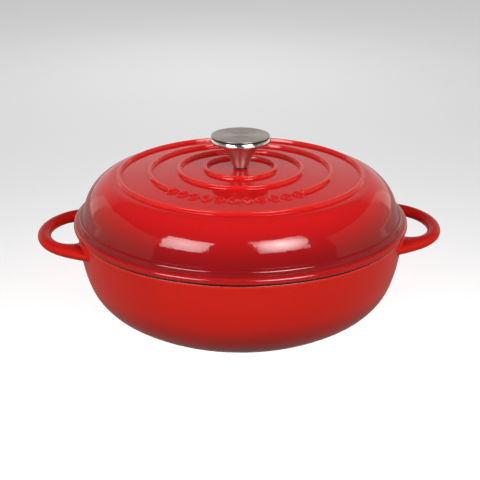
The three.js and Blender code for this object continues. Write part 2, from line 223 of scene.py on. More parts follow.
def spline(points, steps):
    """A Catmull-Rom curve through the points, as three.js's SplineCurve draws it."""
    points = np.array(points, float)
    last = len(points) - 1
    out = []
    for t in np.linspace(0, last, steps + 1):
        i = min(int(t), last - 1)
        w = t - i
        p0, p1 = points[max(i - 1, 0)], points[i]
        p2, p3 = points[i + 1], points[min(i + 2, last)]
        v0, v1 = (p2 - p0) / 2, (p3 - p1) / 2
        cubic = 2 * p1 - 2 * p2 + v0 + v1
        square = -3 * p1 + 3 * p2 - 2 * v0 - v1
        out.append(cubic * w**3 + square * w**2 + v0 * w + p1)
    return np.array(out)


def offset(points, distance):
    """The outline moved sideways, to the left of its direction of travel."""
    points = np.array(points, float)
    along = np.gradient(points, axis=0)
    along /= np.linalg.norm(along, axis=1)[:, None]
    return points + distance * np.column_stack([-along[:, 1], along[:, 0]])


def rounded(corners, steps=7):
    """An outline through (radius, height, fillet radius) corners, each fillet an arc."""
    points = np.array([c[:2] for c in corners], float)
    out = []
    for i, (here, fillet) in enumerate(zip(points, [c[2] for c in corners])):
        if fillet == 0:
            out.append(here)
            continue
        before = points[i - 1] - here
        after = points[(i + 1) % len(points)] - here
        before /= np.linalg.norm(before)
        after /= np.linalg.norm(after)
        half = math.acos(np.clip(before @ after, -1, 1)) / 2
        middle = (before + after) / np.linalg.norm(before + after)
        centre = here + middle * fillet / math.sin(half)
        start = here + before * fillet / math.tan(half) - centre
        end = here + after * fillet / math.tan(half) - centre
        turn = math.pi - 2 * half
        for t in np.linspace(0, 1, steps):
            spoke = math.sin((1 - t) * turn) * start + math.sin(t * turn) * end
            out.append(centre + spoke / math.sin(turn))
    return np.array(out)


def subdivided(points, spacing, closed=False):
    """The outline with its long steps divided, so that smooth shading stays true beside each fillet."""
    ends = np.roll(points, -1, axis=0) if closed else points[1:]
    out = []
    for a, b in zip(points, ends):
        count = max(1, math.ceil(np.linalg.norm(b - a) / spacing))
        out.extend(a + (b - a) * k / count for k in range(count))
    if not closed:
        out.append(points[-1])
    return np.array(out)


def smooth_step(x):
    """Rises from 0 to 1 as x does, level at both ends."""
    x = np.clip(x, 0, 1)
    return x * x * (3 - 2 * x)


def graded(height, steps):
    """The share that the [height, share] steps give at each height."""
    return np.interp(height, *zip(*steps))


def wrapped(angle):
    """The angle brought to within half a turn of zero."""
    return (angle + math.pi) % (2 * math.pi) - math.pi


def fine_angles(coarse_deg, fine_deg, centres_deg, half_deg):
    """Angles round a casting: coarse all round, and finer within half_deg of each centre."""
    angles = []
    angle = centres_deg[0] - half_deg
    end = angle + 360
    while angle < end - 1e-6:
        angles.append(angle)
        near = any(abs((angle + 1e-6 - c + 180) % 360 - 180) < half_deg for c in centres_deg)
        angle += fine_deg if near else coarse_deg
    return np.radians(angles)


# ---------------------------------------------------------------- meshes

def lathe_grid(radius, height, angles):
    """Vertices and the index grid of an outline turned about Z. height may differ from angle to angle."""
    rows, count = len(radius), len(angles)
    index = np.zeros((rows, count), int)
    vertices = []
    for i in range(rows):
        z = np.broadcast_to(height[i], (count,))
        if radius[i] < 1e-6:
            index[i] = len(vertices)
            vertices.append((0, 0, z[0]))
        else:
            index[i] = len(vertices) + np.arange(count)
            vertices.extend(zip(radius[i] * np.cos(angles), radius[i] * np.sin(angles), z))
    return np.array(vertices), index


def grid_faces(index, closed=False):
    """Quads (triangles at a pole) between the rows, and the row that each face starts from."""
    following = np.roll(index, -1, axis=0) if closed else index[1:]
    faces, rows = [], []
    for i, (low, high) in enumerate(zip(index, following)):
        for a, b, c, d in zip(low, np.roll(low, -1), np.roll(high, -1), high):
            corners = list(dict.fromkeys((int(a), int(b), int(c), int(d))))
            if len(corners) > 2:
                faces.append(corners)
                rows.append(i)
    return faces, rows


def make_object(name, vertices, faces, materials, slots=None, attributes=None):
    """A smooth-shaded mesh object from vertices in millimetres."""
    mesh = bpy.data.meshes.new(name)
    mesh.from_pydata((np.asarray(vertices, float) * MM).tolist(), [], faces)
    mesh.polygons.foreach_set("use_smooth", [True] * len(mesh.polygons))
    for material in materials:
        mesh.materials.append(material)
    if slots is not None:
        mesh.polygons.foreach_set("material_index", list(slots))
    for key, values in (attributes or {}).items():
        layer = mesh.attributes.new(key, "FLOAT", "POINT")
        layer.data.foreach_set("value", np.asarray(values, float))
    mesh.update()
    obj = bpy.data.objects.new(name, mesh)
    bpy.context.scene.collection.objects.link(obj)
    return obj


def turned_piece(name, outline, segments, material, spacing=1.5, closed=True):
    """A plain turned piece from a closed outline, or from one that starts and ends on the axis."""
    outline = subdivided(outline, spacing, closed)
    angles = np.linspace(0, 2 * math.pi, segments, endpoint=False)
    vertices, index = lathe_grid(outline[:, 0], outline[:, 1], angles)
    faces, _ = grid_faces(index, closed)
    return make_object(name, vertices, faces, [material])


# ---------------------------------------------------------------- pot

def pot_outline():
    """The outline from the middle of the base round to the middle of the floor, and a finish for each row."""
    wall = spline(POT_WALL, POT_WALL_STEPS)
    inside = offset(wall, POT_WALL_THICKNESS)[::-1]
    inside = inside[(inside[:, 1] < INNER_WALL_TOP) & (inside[:, 1] > INNER_WALL_BOTTOM)]
    below = rounded([
        (0, FOOT_RECESS_DEPTH, 0),
        (FOOT_INNER_RADIUS - FOOT_RECESS_FILLET, FOOT_RECESS_DEPTH, FOOT_RECESS_FILLET),
        (FOOT_INNER_RADIUS, 0, FOOT_INNER_ROUNDING),
        (FOOT_OUTER_RADIUS + FOOT_FLARE, 0, FOOT_OUTER_ROUNDING),
        (*wall[1], 0),
    ])
    rim = rounded([
        (*wall[-1], 0),
        (RIM_OUTER_RADIUS, POT_HEIGHT, RIM_OUTER_ROUNDING),
        (RIM_INNER_RADIUS, POT_HEIGHT, RIM_INNER_ROUNDING),
        (RIM_INNER_RADIUS, POT_HEIGHT - RIM_DEPTH, RIM_BLEND),
        (*inside[0], 0),
    ])
    floor = rounded([
        (*inside[-1], 0),
        (inside[-1][0] - POT_FLOOR_CORNER, POT_FLOOR_HEIGHT, POT_FLOOR_FILLET),
        (0, POT_FLOOR_HEIGHT, 0),
    ])
    below, outer, rim, inner, floor = (
        subdivided(part, POT_ROW_SPACING)
        for part in (below[:-1], wall[1:-1], rim, inside[1:-1], floor))
    outline = np.vstack([below, outer, rim, inner, floor])
    r, z = outline.T
    finish = np.full(len(outline), RED)
    finish[:len(below)] = FOOT
    first_rim = len(below) + len(outer)
    finish[first_rim:] = CREAM
    past_edge = np.arange(len(outline)) >= first_rim
    on_top = z > POT_HEIGHT - BLACK_RIM_DEPTH
    on_inner_face = (r < RIM_INNER_RADIUS + 0.6) & (z > POT_HEIGHT - RIM_DEPTH)
    on_outer_face = (r > RIM_OUTER_RADIUS - 0.8) & ~on_top
    finish[past_edge & (on_top | on_inner_face)] = BLACK
    finish[past_edge & on_outer_face] = RED
    return outline, finish, len(below), first_rim + 1


def root_centres():
    """Angle of each handle root's middle, and which way is outward along the wall there."""
    for middle in (0, math.pi):
        for side in (-1, 1):
            yield middle, side, middle + side * HANDLE_ROOT_ANGLE


def root_position(angle, z, centre):
    """Where a wall point lies on a root's oval: its scaled radius, and its two scaled offsets."""
    across = wrapped(angle - centre) / ROOT_OVAL_HALF_ANGLE
    up = (z - HANDLE_ROOT_HEIGHT) / ROOT_OVAL_HALF_DEPTH
    return np.hypot(across, up), across, up


def open_root(vertices, index, angles, outline, first, last, side, centre):
    """Fits the wall's vertices to one root's oval. Returns the faces inside it and its loop of vertices."""
    rows = np.arange(first, last)
    distance, _, _ = root_position(angles[None, :], outline[rows, 1][:, None], centre)
    inside = distance < 1
    cells = np.zeros(inside.shape, bool)
    cells[:-1] = inside[:-1] | inside[1:]
    cells |= np.roll(cells, -1, axis=1)
    touched = np.zeros(inside.shape, bool)
    for i, j in zip(*np.nonzero(cells)):
        for k in (j, (j + 1) % len(angles)):
            touched[i, k] = touched[i + 1, k] = True
    loop = []
    for i, j in zip(*np.nonzero(touched & ~inside)):
        scale, across, up = root_position(angles[j], outline[rows[i], 1], centre)
        angle = centre + across / scale * ROOT_OVAL_HALF_ANGLE
        z = HANDLE_ROOT_HEIGHT + up / scale * ROOT_OVAL_HALF_DEPTH
        r = np.interp(z, outline[first:last, 1], outline[first:last, 0])
        vertex = index[rows[i], j]
        vertices[vertex] = (r * math.cos(angle), r * math.sin(angle), z)
        loop.append((math.atan2(up, side * across), vertex))
    loop.sort()
    removed = {(rows[i], j) for i, j in zip(*np.nonzero(cells))}
    return removed, np.array([u for u, _ in loop]), np.array([v for _, v in loop])


def turned_to(points, middle):
    """Points of the right-hand handle turned round to the handle whose axis points along middle."""
    c, s = math.cos(middle), math.sin(middle)
    return points @ np.array([[c, s, 0], [-s, c, 0], [0, 0, 1]])


def bar_ring(angle, section, middle):
    """One ring of the handle's bar. The bar drops and deepens a little towards its ends."""
    towards_end = (1 - math.cos(angle)) ** 3
    centre = np.array([
        HANDLE_CENTRE_X + HANDLE_REACH * math.cos(angle), HANDLE_HALF_SPREAD * math.sin(angle),
        HANDLE_HEIGHT + (HANDLE_ROOT_HEIGHT - HANDLE_HEIGHT) * towards_end])
    outward = np.array([HANDLE_HALF_SPREAD * math.cos(angle), HANDLE_REACH * math.sin(angle), 0])
    outward /= np.linalg.norm(outward)
    depth = HANDLE_HALF_DEPTH * (1 + HANDLE_DEPTH_GROWTH * towards_end)
    ring = (centre + HANDLE_HALF_WIDTH * np.cos(section)[:, None] * outward
            + depth * np.sin(section)[:, None] * np.array([0, 0, 1]))
    return turned_to(ring, middle)


def root_rings(section, side, middle):
    """Rings from the wall to the bar, with a fillet where they leave the wall."""
    azimuth = side * (HANDLE_ROOT_ANGLE + HANDLE_ROOT_HALF_ANGLE * np.cos(section))
    z = HANDLE_ROOT_HEIGHT + HANDLE_ROOT_HALF_DEPTH * np.sin(section)
    wall = np.array(POT_WALL, float)
    r = np.interp(z, wall[:, 1], wall[:, 0])
    away = np.column_stack([np.cos(azimuth), np.sin(azimuth), np.zeros(len(section))])
    root = away * r[:, None] + np.outer(z, (0, 0, 1))
    bar = bar_ring(side * HANDLE_BAR_END, section, 0)
    just_past = bar_ring(side * HANDLE_BAR_END * 1.01, section, 0)
    along = bar - just_past
    along /= np.linalg.norm(along, axis=1)[:, None]
    reach = np.linalg.norm(bar - root, axis=1)[:, None]
    across = side * np.array([-math.sin(side * HANDLE_ROOT_ANGLE), math.cos(side * HANDLE_ROOT_ANGLE), 0])
    spread = np.cos(section)[:, None] * across + np.outer(np.sin(section), (0, 0, 1))
    rings = []
    for t in np.linspace(0, 1, HANDLE_ROOT_RINGS + 2)[1:-1] ** HANDLE_ROOT_CROWDING:
        from_root = (2 * t**3 - 3 * t**2 + 1) * root
        leaving = (t**3 - 2 * t**2 + t) * away * reach * HANDLE_ROOT_BULGE
        ring = from_root + leaving + (3 * t**2 - 2 * t**3) * bar + (t**3 - t**2) * along * reach
        off_wall = np.hypot(ring[:, 0], ring[:, 1]) - np.interp(ring[:, 2], wall[:, 1], wall[:, 0])
        left = np.clip(HANDLE_ROOT_FILLET - off_wall, 0, HANDLE_ROOT_FILLET)
        flare = HANDLE_ROOT_FILLET - np.sqrt(HANDLE_ROOT_FILLET**2 - left**2)
        rings.append(turned_to(ring + flare[:, None] * spread, middle))
    return rings


def handle_mesh(vertices, roots, middle):
    """The bar and both its faired ends for one handle, joined to the wall's loops."""
    (section, low_loop), (_, high_loop) = roots
    bar_angles = np.linspace(-HANDLE_BAR_END, HANDLE_BAR_END, HANDLE_BAR_RINGS)
    rings = root_rings(section, -1, middle)
    rings += [bar_ring(angle, section, middle) for angle in bar_angles]
    rings += root_rings(section, 1, middle)[::-1]
    count = len(section)
    start = len(vertices)
    grid = [low_loop] + [start + k * count + np.arange(count) for k in range(len(rings))] + [high_loop]
    faces = []
    for low, high in zip(grid, grid[1:]):
        for j in range(count):
            k = (j + 1) % count
            faces.append([int(low[j]), int(high[j]), int(high[k]), int(low[k])])
    return np.vstack([vertices, *rings]), faces


def build_pot(materials):
    """The pot with both its handles, as one closed mesh."""
    outline, finish, first, last = pot_outline()
    angles = fine_angles(POT_ANGLE_STEP, POT_FINE_ANGLE_STEP, (0, 180), HANDLE_REGION_DEG)
    vertices, index = lathe_grid(outline[:, 0], outline[:, 1], angles)
    removed = set()
    roots = {0: [], math.pi: []}
    for middle, side, centre in root_centres():
        cells, section, loop = open_root(vertices, index, angles, outline, first, last, side, centre)
        removed |= cells
        roots[middle].append((section, loop))
    faces, slots = [], []
    for i, (low, high) in enumerate(zip(index, index[1:])):
        for j in range(len(angles)):
            if (i, j) in removed:
                continue
            k = (j + 1) % len(angles)
            corners = list(dict.fromkeys((int(low[j]), int(low[k]), int(high[k]), int(high[j]))))
            faces.append(corners)
            slots.append(finish[i])
    for middle, pair in roots.items():
        vertices, added = handle_mesh(vertices, pair, middle)
        faces += added
        slots += [HANDLE] * len(added)
    used = sorted({v for face in faces for v in face})
    place = {v: n for n, v in enumerate(used)}
    faces = [[place[v] for v in face] for face in faces]
    kept = vertices[used]
    radius = np.hypot(kept[:, 0], kept[:, 1])
    height = kept[:, 2]
    # Round the rim's outer edge: thinner enamel, and a painted highlight
    from_edge = np.hypot(radius - RIM_OUTER_RADIUS, height - POT_HEIGHT + RIM_THIN_AND_HIGHLIGHT_DROP)
    thin_and_highlight = smooth_step(1 - from_edge / RIM_THIN_AND_HIGHLIGHT_REACH)
    # Painted shade: darker towards the bottom of the wall, above the foot
    painted_shade = graded(height, WALL_PAINTED_SHADE) * (radius > FOOT_OUTER_RADIUS)
    # Painted shade darkens the upper half of each handle's bar
    on_handle = radius > RIM_OUTER_RADIUS + 1
    painted_shade += HANDLE_TOP_SHADE * smooth_step((height - HANDLE_HEIGHT) / HANDLE_HALF_DEPTH) * on_handle
    return make_object("pot_casting", kept, faces, materials, slots, {"thin_and_highlight": thin_and_highlight, "painted_shade": painted_shade})


# ---------------------------------------------------------------- lid

def plate_height(radius):
    """Height of the lid's gently domed top plate."""
    return PLATE_CENTRE_HEIGHT - PLATE_FALL * radius**2


def ridge_profile():
    """Distances from the crest line, and heights: a broad crown, a tight edge, a steep side and a fillet."""
    crown = np.linspace(0, RIDGE_CROWN_ANGLE, 5)
    edge = np.linspace(RIDGE_CROWN_ANGLE, RIDGE_SIDE_ANGLE, 7)[1:]
    foot = np.linspace(RIDGE_SIDE_ANGLE, 0, 5)
    crown_x = RIDGE_CROWN_RADIUS * np.sin(crown)
    crown_z = RIDGE_HEIGHT - RIDGE_CROWN_RADIUS * (1 - np.cos(crown))
    edge_x = crown_x[-1] + RIDGE_EDGE_RADIUS * (np.sin(edge) - math.sin(RIDGE_CROWN_ANGLE))
    edge_z = crown_z[-1] - RIDGE_EDGE_RADIUS * (math.cos(RIDGE_CROWN_ANGLE) - np.cos(edge))
    foot_z = RIDGE_FILLET * (1 - np.cos(foot))
    side_end = edge_x[-1] + (edge_z[-1] - foot_z[0]) / math.tan(RIDGE_SIDE_ANGLE)
    foot_x = side_end + RIDGE_FILLET * (math.sin(RIDGE_SIDE_ANGLE) - np.sin(foot))
    return np.hstack([crown_x, edge_x, foot_x]), np.hstack([crown_z, edge_z, foot_z])


def ridge(distance):
    """Height of a ridge at a distance from its crest line."""
    return np.interp(np.abs(distance), *ridge_profile())


def ornament(radius, angle):
    """Height of the row of outlined lozenges, each round a bead, that fills the gap in the third ring."""
    pitch = ORNAMENT_SPAN / LOZENGE_COUNT
    turn = wrapped(angle - ORNAMENT_CENTRE) / pitch
    across = radius - BROKEN_RING_RADIUS
    along = (turn - np.round(turn)) * pitch * BROKEN_RING_RADIUS
    a = np.abs(across) / LOZENGE_HALF_LENGTH
    b = np.abs(along) / LOZENGE_HALF_WIDTH
    size = np.clip(a**LOZENGE_FULLNESS + b**LOZENGE_FULLNESS, 1e-6, None) ** (1 / LOZENGE_FULLNESS)
    growth = np.hypot(
        a ** (LOZENGE_FULLNESS - 1) / LOZENGE_HALF_LENGTH,
        b ** (LOZENGE_FULLNESS - 1) / LOZENGE_HALF_WIDTH) * size ** (1 - LOZENGE_FULLNESS)
    from_line = np.abs(size - 1) / np.clip(growth, 1e-6, None)
    line = smooth_step(1 - from_line / LOZENGE_STROKE)
    bead = smooth_step(1 - np.hypot(across, along) / BEAD_RADIUS)
    return np.where(np.abs(turn) < LOZENGE_COUNT / 2, ORNAMENT_HEIGHT * np.maximum(line, bead), 0)


def relief(radius, angle):
    """Everything that stands up from the lid's top plate."""
    height = np.zeros(np.broadcast(radius, angle).shape)
    for ring in FULL_RING_RADII:
        height = height + ridge(radius - ring)
    into_gap = np.clip(ORNAMENT_SPAN / 2 - np.abs(wrapped(angle - ORNAMENT_CENTRE)), 0, None)
    height = height + ridge(np.hypot(radius - BROKEN_RING_RADIUS, into_gap * BROKEN_RING_RADIUS))
    return height + ornament(radius, angle)


def plate_radii():
    """Radii of the top plate's rows from its edge in to the hole, close together where it has relief."""
    band = LOZENGE_HALF_LENGTH + LOZENGE_STROKE + ORNAMENT_MARGIN
    offsets, _ = ridge_profile()
    ridge_end = offsets.max() + RIDGE_MARGIN
    plain = np.arange(LID_HOLE_RADIUS + 2, PLATE_EDGE_RADIUS, PLATE_ROW_SPACING)
    fine = np.arange(BROKEN_RING_RADIUS - band, BROKEN_RING_RADIUS + band, ORNAMENT_ROW_SPACING)
    radii = [PLATE_EDGE_RADIUS, *plain[np.abs(plain - BROKEN_RING_RADIUS) > band], *fine]
    for ring in (*FULL_RING_RADII, BROKEN_RING_RADIUS):
        radii = [r for r in radii if abs(r - ring) > ridge_end]
        radii += [*(ring - offsets), *(ring + offsets), ring - ridge_end, ring + ridge_end]
    radii = np.unique(np.round(radii, 3))[::-1]
    return radii[np.insert(-np.diff(radii) > SMALLEST_ROW_GAP, 0, True)]


def lid_outline():
    """The closed outline, from the seat up over flange and dome, in along the plate and back below it."""
    flange = rounded([(SEAT_RADIUS, SEAT_HEIGHT, 0), *FLANGE_CORNERS, (*LID_DOME[0], 0)], steps=9)[:-1]
    overlap_radius = PLATE_EDGE_RADIUS - DOME_OVERLAP
    dome = spline(LID_DOME + [(overlap_radius, plate_height(overlap_radius))], LID_DOME_STEPS)
    dome = dome[dome[:, 0] > PLATE_EDGE_RADIUS + 0.6]
    shell = np.vstack([subdivided(flange, FLANGE_ROW_SPACING), dome])
    radii = plate_radii()
    plate = np.column_stack([radii, plate_height(radii)])
    hole = rounded([
        (radii[-1] - 0.4, plate_height(radii[-1]), 0),
        (LID_HOLE_RADIUS, plate_height(LID_HOLE_RADIUS), LID_HOLE_ROUNDING),
        (LID_HOLE_RADIUS, plate_height(LID_HOLE_RADIUS) - LID_THICKNESS, LID_HOLE_ROUNDING),
        (10, plate_height(LID_HOLE_RADIUS) - LID_THICKNESS, 0),
    ], steps=4)
    under_radii = np.arange(UNDERSIDE_INNER_RADIUS, UNDERSIDE_OUTER_RADIUS, UNDERSIDE_ROW_SPACING)
    under_plate = np.column_stack([under_radii, plate_height(under_radii) - LID_THICKNESS])
    under_dome = offset(spline(LID_DOME, LID_DOME_STEPS // 2), LID_THICKNESS)[::-1]
    in_reach = (under_dome[:, 0] > UNDERSIDE_OUTER_RADIUS) & (under_dome[:, 0] < LID_LIP_INNER_RADIUS - 0.3)
    under_dome = under_dome[in_reach]
    lip = rounded([
        (*under_dome[-1], 0),
        (LID_LIP_INNER_RADIUS, LID_LIP_TOP + 3, LID_LIP_FILLET),
        (LID_LIP_INNER_RADIUS, LID_LIP_BOTTOM, LID_LIP_ROUNDING),
        (LID_LIP_OUTER_RADIUS, LID_LIP_BOTTOM, LID_LIP_ROUNDING),
        (LID_LIP_OUTER_RADIUS, SEAT_HEIGHT, SEAT_FILLET),
        (SEAT_RADIUS - 0.5, SEAT_HEIGHT, 0),
    ])[1:]
    shell, hole, under_plate, under_dome, lip = (
        subdivided(part, PLATE_ROW_SPACING) for part in (shell, hole, under_plate, under_dome, lip))
    outline = np.vstack([shell, plate, hole, under_plate, under_dome, lip])
    finish = np.full(len(outline), RED)
    hole_start = len(shell) + len(plate)
    finish[hole_start:] = CREAM
    on_lip = np.arange(len(outline)) >= len(outline) - len(lip)
    finish[on_lip & (outline[:, 1] < SEAT_HEIGHT + BLACK_SEAT_DEPTH)] = BLACK
    return outline, finish, len(shell), hole_start


def build_lid(materials):
    """The lid with its rings and ornament, as one closed mesh."""
    outline, finish, plate_start, plate_end = lid_outline()
    ornament_half_deg = math.degrees(ORNAMENT_SPAN) / 2 + 3
    angles = fine_angles(
        LID_ANGLE_STEP, ORNAMENT_ANGLE_STEP, (math.degrees(ORNAMENT_CENTRE),), ornament_half_deg)
    height = np.repeat(outline[:, 1][:, None], len(angles), axis=1)
    raised = relief(outline[plate_start:plate_end, 0][:, None], angles[None, :])
    height[plate_start:plate_end] += raised
    vertices, index = lathe_grid(outline[:, 0], height, angles)
    faces, rows = grid_faces(index, closed=True)
    thin_and_highlight = np.zeros(len(vertices))
    thin_and_highlight[index[plate_start:plate_end]] = smooth_step(raised / RIDGE_HEIGHT)
    from_edge = np.hypot(*(outline - FLANGE_EDGE).T)
    for i in np.nonzero(from_edge < FLANGE_EDGE_REACH)[0]:
        edge_thinning = FLANGE_EDGE_THINNING * smooth_step(1 - from_edge[i] / FLANGE_EDGE_REACH)
        thin_and_highlight[index[i]] = np.maximum(thin_and_highlight[index[i]], edge_thinning)
    # Painted shade round the lid's flange and the foot of its dome
    painted_shade = np.zeros(len(vertices))
    painted_shade[index[:plate_start]] = graded(outline[:plate_start, 1], LID_PAINTED_SHADE)[:, None]
    attributes = {"thin_and_highlight": thin_and_highlight, "painted_shade": painted_shade}
    return make_object("lid_casting", vertices, faces, materials, finish[rows], attributes)


# ---------------------------------------------------------------- knob and its fixings

def build_knob_shell(head_material, stem_material):
    """The trumpet: a polished head on a lathe-turned stem."""
    trumpet = spline(STEM + HEAD_SIDE, TRUMPET_STEPS)
    inside = rounded([
        (*HEAD_SIDE[-1], 0),
        (HEAD_SIDE[-1][0] - 0.1, HEAD_TOP, 0),
        (HEAD_RECESS_RADIUS, HEAD_TOP, KNOB_SMALL_ROUNDING),
        (HEAD_RECESS_RADIUS, HEAD_RECESS_FLOOR, KNOB_SMALL_ROUNDING),
        (STEM_CAVITY_RADIUS, HEAD_RECESS_FLOOR, 2 * KNOB_SMALL_ROUNDING),
        (STEM_CAVITY_RADIUS, STEM_LEDGE_HEIGHT, KNOB_SMALL_ROUNDING),
        (STEM_BORE_RADIUS, STEM_LEDGE_HEIGHT, KNOB_SMALL_ROUNDING),
        (STEM_BORE_RADIUS, STEM[0][1], 0),
    ])[1:]
    shell = turned_piece("knob_body", np.vstack([trumpet, inside]), KNOB_SEGMENTS, head_material)
    shell.data.materials.append(stem_material)
    for face in shell.data.polygons:
        face.material_index = int(face.center.z < STEM_TOP * MM)
    return shell


def build_knob_cap(material):
    """The disc set into the head, with one fine ring engraved in it."""
    ring = CAP_ENGRAVED_RING_RADIUS
    half = CAP_ENGRAVED_RING_WIDTH / 2
    outline = rounded([
        (0, CAP_SPIGOT_BOTTOM, 0),
        (CAP_SPIGOT_RADIUS, CAP_SPIGOT_BOTTOM, 0.3),
        (CAP_SPIGOT_RADIUS, CAP_UNDERSIDE, 0),
        (CAP_RADIUS - 0.2, CAP_UNDERSIDE, 0.05),
        (CAP_RADIUS, CAP_UNDERSIDE + 0.2, 0.05),
        (CAP_RADIUS, CAP_TOP, CAP_EDGE_ROUNDING),
        (ring + half, CAP_TOP, 0.05),
        (ring, CAP_TOP - CAP_ENGRAVED_RING_DEPTH, 0.1),
        (ring - half, CAP_TOP, 0.05),
        (0, CAP_TOP, 0),
    ], steps=5)
    return turned_piece("knob_disc", outline, KNOB_SEGMENTS, material, closed=False)


# ---------------------------------------------------------------- materials

# Places of the colour sockets on a mix node, which has a set for each type of data
MIX_COLOUR_A = 6
MIX_COLOUR_B = 7
MIX_COLOUR_RESULT = 2


class Nodes:
    """Short calls for building one material's node tree. Textures lie in the object's own coordinates."""

    def __init__(self, name):
        self.material = bpy.data.materials.new(name)
        self.material.use_nodes = True
        self.tree = self.material.node_tree
        self.shader = self.tree.nodes["Principled BSDF"]
        self.place = self.add("ShaderNodeTexCoord").outputs["Object"]

    def add(self, kind, **settings):
        node = self.tree.nodes.new(kind)
        for key, value in settings.items():
            setattr(node, key, value)
        return node

    def link(self, source, target):
        self.tree.links.new(source, target)

    def set(self, **values):
        """Sets the shader's own sockets: ior=1.34 sets IOR."""
        for key, value in values.items():
            socket = key.replace("_", " ").title().replace("Ior", "IOR")
            self.shader.inputs[socket].default_value = value

    def surface(self, colour, roughness, normal):
        """Links the three maps that each finish has."""
        self.link(colour, self.shader.inputs["Base Color"])
        self.link(roughness, self.shader.inputs["Roughness"])
        self.link(normal, self.shader.inputs["Normal"])

    def follow_turning(self):
        """Makes reflections stretch across grooves that run round the axis."""
        tangent = self.add("ShaderNodeTangent", direction_type="RADIAL", axis="Z")
        self.link(tangent.outputs["Tangent"], self.shader.inputs["Tangent"])

    def noise(self, scale, detail=2, roughness=0.5, stretch=(1, 1, 1)):
        mapping = self.add("ShaderNodeMapping")
        mapping.inputs["Scale"].default_value = stretch
        self.link(self.place, mapping.inputs["Vector"])
        node = self.add("ShaderNodeTexNoise")
        node.inputs["Scale"].default_value = scale
        node.inputs["Detail"].default_value = detail
        node.inputs["Roughness"].default_value = roughness
        self.link(mapping.outputs["Vector"], node.inputs["Vector"])
        return node.outputs["Fac"]

    def remap(self, source, low, high, from_low=0.0, from_high=1.0):
        """The source carried from its own range to low..high, and held there."""
        node = self.add("ShaderNodeMapRange")
        node.inputs["From Min"].default_value = from_low
        node.inputs["From Max"].default_value = from_high
        node.inputs["To Min"].default_value = low
        node.inputs["To Max"].default_value = high
        self.link(source, node.inputs["Value"])
        return node.outputs["Result"]

    def clamp(self, source):
        node = self.add("ShaderNodeClamp")
        self.link(source, node.inputs["Value"])
        return node.outputs["Result"]

    def mix(self, factor, a, b):
        """A colour between a and b, each a tuple or an output."""
        node = self.add("ShaderNodeMix", data_type="RGBA")
        self.link(factor, node.inputs["Factor"])
        for socket, value in ((node.inputs[MIX_COLOUR_A], a), (node.inputs[MIX_COLOUR_B], b)):
            if isinstance(value, tuple):
                socket.default_value = (*value, 1)
            else:
                self.link(value, socket)
        return node.outputs[MIX_COLOUR_RESULT]

    def bump(self, height, strength, distance, after=None):
        node = self.add("ShaderNodeBump")
        node.inputs["Strength"].default_value = strength
        node.inputs["Distance"].default_value = distance
        self.link(height, node.inputs["Height"])
        if after is not None:
            self.link(after, node.inputs["Normal"])
        return node.outputs["Normal"]


def red_enamel(name, tone, shade_and_speck_tone, thin_and_highlight_tone, roughness, peel, **gloss):
    """Enamel over cast iron: darker where a painted shade is laid on (on the pot a greyish painted shade that
    also stands for a painted reflection), with specks in that darker tone; lighter and more orange where the
    enamel thins over an edge, which round the pot's rim is also a painted highlight.
    """
    n = Nodes(name)
    n.set(**gloss)
    cloud = n.remap(n.noise(14, 3), -0.12, 0.12)
    painted_shade = n.add("ShaderNodeAttribute", attribute_name="painted_shade").outputs["Fac"]
    total = n.add("ShaderNodeMath", operation="ADD")
    n.link(cloud, total.inputs[0])
    n.link(painted_shade, total.inputs[1])
    colour = n.mix(n.clamp(total.outputs["Value"]), tone, shade_and_speck_tone)
    speck = n.remap(n.noise(900, 1), 0, 0.35, 0.66, 0.74)
    colour = n.mix(speck, colour, shade_and_speck_tone)
    thin_and_highlight = n.add("ShaderNodeAttribute", attribute_name="thin_and_highlight").outputs["Fac"]
    colour = n.mix(thin_and_highlight, colour, thin_and_highlight_tone)
    roughness = n.remap(n.noise(60, 3), *roughness)
    waves = n.bump(n.noise(210, 2), peel, 0.0006)
    n.surface(colour, roughness, n.bump(n.noise(650, 2), peel * 0.5, 0.00012, waves))
    return n.material


def gloss_red_enamel():
    """The lid's: nearly a mirror."""
    return red_enamel(
        "gloss_red_enamel",
        tone=(0.50, 0.0055, 0.0065), shade_and_speck_tone=(0.21, 0.0035, 0.0050), thin_and_highlight_tone=(0.62, 0.014, 0.009),
        roughness=(0.04, 0.08), peel=0.14)


def handle_red_enamel():
    return red_enamel(
        "handle_red_enamel",
        tone=(0.58, 0.0130, 0.0065), shade_and_speck_tone=(0.30, 0.006, 0.006), thin_and_highlight_tone=(0.74, 0.030, 0.012),
        roughness=(0.18, 0.24), peel=0.03, specular_ior_level=0.055)


def satin_red_enamel():
    """The pot's wall: it shines only at a grazing angle."""
    return red_enamel(
        "satin_red_enamel",
        # The darker tone is greyish: painted shade and painted reflection, strongest near the foot; the
        # specks share it.
        tone=(0.60, 0.0110, 0.0045), shade_and_speck_tone=(0.18, 0.011, 0.014), thin_and_highlight_tone=(0.76, 0.026, 0.010),
        roughness=(0.30, 0.40), peel=0.05, ior=1.34)


def matt_black_enamel():
    """On the pot's rim, and on the lid's lip and seat."""
    n = Nodes("matt_black_enamel")
    patches = n.remap(n.noise(500, 2), 0, 1, 0.4, 0.7)
    n.surface(
        colour=n.mix(patches, (0.010, 0.009, 0.009), (0.028, 0.026, 0.025)),
        roughness=n.remap(n.noise(300, 3), 0.20, 0.32),
        normal=n.bump(n.noise(700, 3), 0.35, 0.0002))
    return n.material


